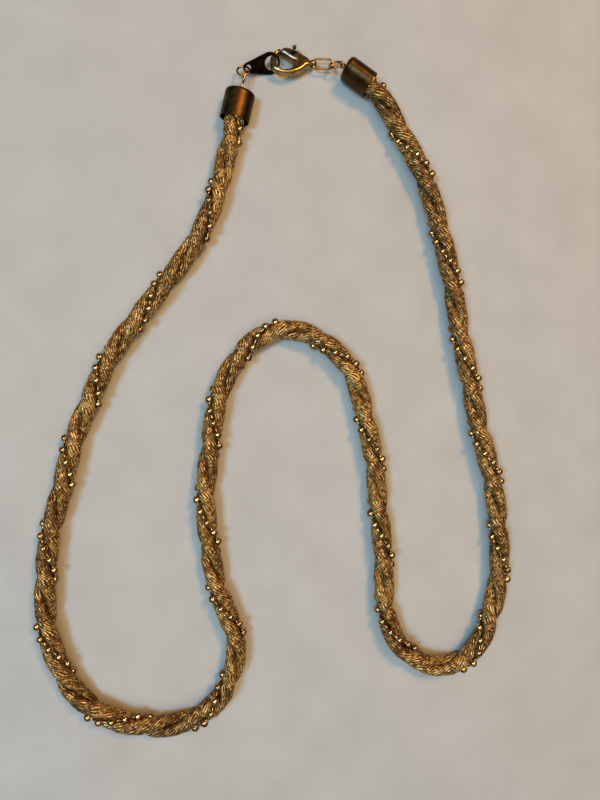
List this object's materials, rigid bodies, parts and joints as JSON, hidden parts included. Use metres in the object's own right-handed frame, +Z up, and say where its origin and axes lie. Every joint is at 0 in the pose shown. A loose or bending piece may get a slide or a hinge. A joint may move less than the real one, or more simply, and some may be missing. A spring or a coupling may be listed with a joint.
{
  "type": "rope necklace",
  "caption": "Twisted mesh rope necklace wound with a ball chain, its end caps joined by rings, a two-hole tag and a lobster clasp, lying in loops on a table.",
  "frame": {"origin": "centre of the outline on the table, under the necklace", "axes": "+Z up, +Y from the bottom of the loops to the clasp, +X to the side of the clasp's two rings"},
  "size_m": [0.121, 0.1752, 0.0076],
  "materials": {
    "mesh": "fine knitted gold-brown wire mesh, antiqued between the wires",
    "ball_chain": "antique brass plating, polished on the balls' tops",
    "dark_brass": "very dark antique brass, lightly worn at the edges",
    "ring_wire": "golden-brown antique brass wire",
    "dark_tag": "nearly black antique brass, stamped and tumbled",
    "clasp_metal": "polished antique-gold casting",
    "spring_steel": "bright spring wire",
    "adhesive": "hardened clear adhesive"
  },
  "bodies": {
    "rope": {"mesh_rope": "mesh", "ball_chain_balls": "ball_chain", "ball_chain_links": "ball_chain", "left_end_cap": "dark_brass", "right_end_cap": "dark_brass", "left_eye_pin": "ring_wire", "right_eye_pin": "ring_wire", "left_adhesive": "adhesive", "right_adhesive": "adhesive"},
    "left_ring": {"left_jump_ring": "ring_wire"},
    "tag": {"two_hole_tag": "dark_tag"},
    "round_ring": {"round_jump_ring": "ring_wire"},
    "oblong": {"oblong_ring": "ring_wire"},
    "clasp": {"clasp_body": "clasp_metal", "lever_rivet": "clasp_metal", "lever_spring": "spring_steel"},
    "lever": {"clasp_lever": "clasp_metal"}
  },
  "joints": [
    {"name": "closure_swing", "type": "hinge", "parent": "rope", "child": "round_ring", "pos_m": [0.01593, 0.08235, 0.0038], "axis": [0.9898, 0.1407, 0.022], "range_deg": [0, 30]},
    {"name": "left_ring_twist", "type": "hinge", "parent": "round_ring", "child": "left_ring", "pos_m": [-0.00884, 0.07883, 0.00325], "axis": [0.3227, 0.8922, -0.316], "range_deg": [-3, 2]},
    {"name": "tag_twist", "type": "hinge", "parent": "left_ring", "child": "tag", "pos_m": [-0.00797, 0.08123, 0.0024], "axis": [0.9625, 0.2693, -0.0336], "range_deg": [-1, 8]},
    {"name": "oblong_twist", "type": "hinge", "parent": "round_ring", "child": "oblong", "pos_m": [0.0138, 0.0833, 0.00217], "axis": [0.9998, 0.0214, 0.0049], "range_deg": [-4, 6]},
    {"name": "clasp_twist", "type": "hinge", "parent": "oblong", "child": "clasp", "pos_m": [0.00863, 0.08319, 0.00214], "axis": [1, 0, 0], "range_deg": [-3, 3]},
    {"name": "lever", "type": "hinge", "parent": "clasp", "child": "lever", "pos_m": [0.00448, 0.08427, 0.00195], "axis": [0, 0.1736, 0.9848], "range_deg": [0, 22], "stiffness_Nm_per_rad": 0.003}
  ]
}
